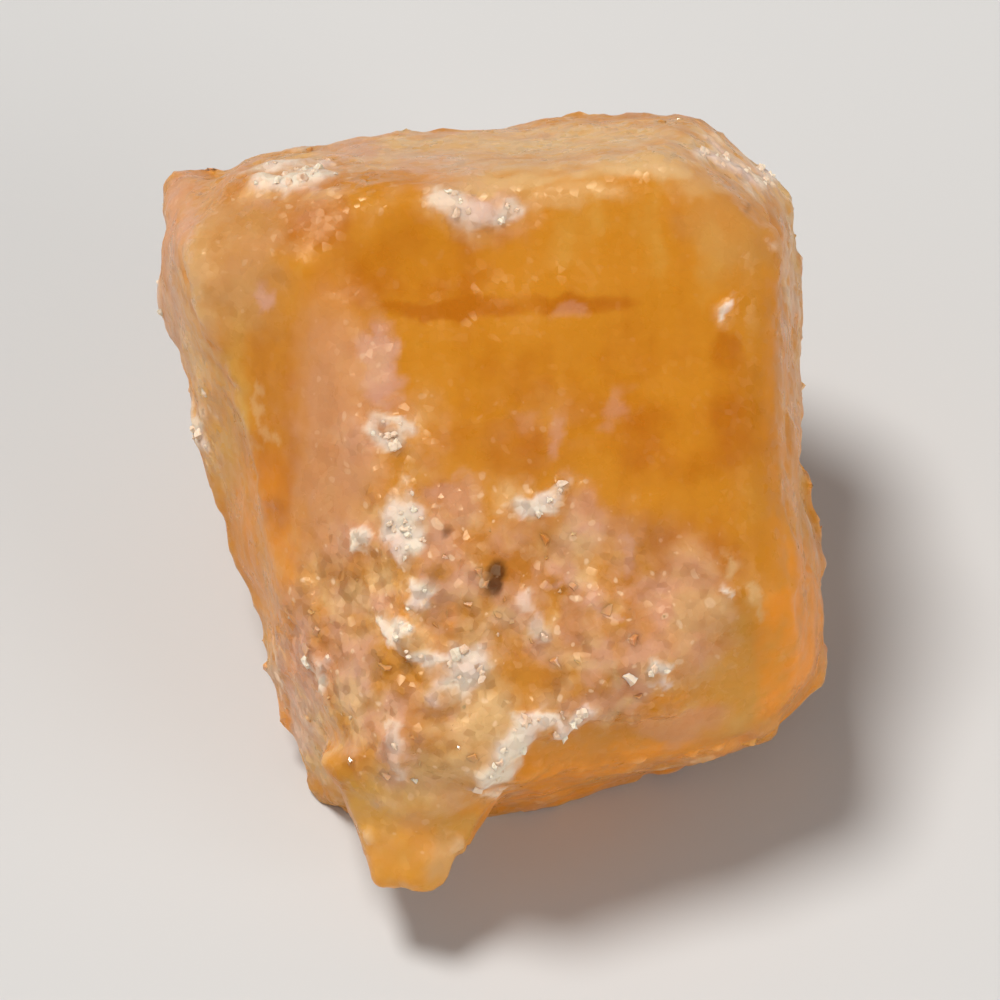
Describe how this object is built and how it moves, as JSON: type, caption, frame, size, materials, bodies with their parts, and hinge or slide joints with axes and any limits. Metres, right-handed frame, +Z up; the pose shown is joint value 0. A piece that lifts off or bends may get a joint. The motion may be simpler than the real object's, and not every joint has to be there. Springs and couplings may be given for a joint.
{
  "type": "palm sugar candy lump",
  "caption": "Rough broken lump of amber crystallised palm sugar with a frosted lower face and a blunt stub, resting on its flat broken back.",
  "frame": {"origin": "middle of the footprint's box, on the surface that the lump rests on", "axes": "+Z up; +X to the right of the shown face; the shown face looks towards -Y and up, about 55 degrees above level"},
  "size_m": [0.0368, 0.0414, 0.0318],
  "materials": {
    "amber_sugar": "translucent amber sugar, glossy where smooth and sugary where broken",
    "sugar_crust": "pale dry crust of fine sugar",
    "sugar_crystal": "clear pale crystal grains with glossy flat faces"
  },
  "bodies": {
    "root": {"sugar_lump": "amber_sugar"}
  },
  "joints": []
}
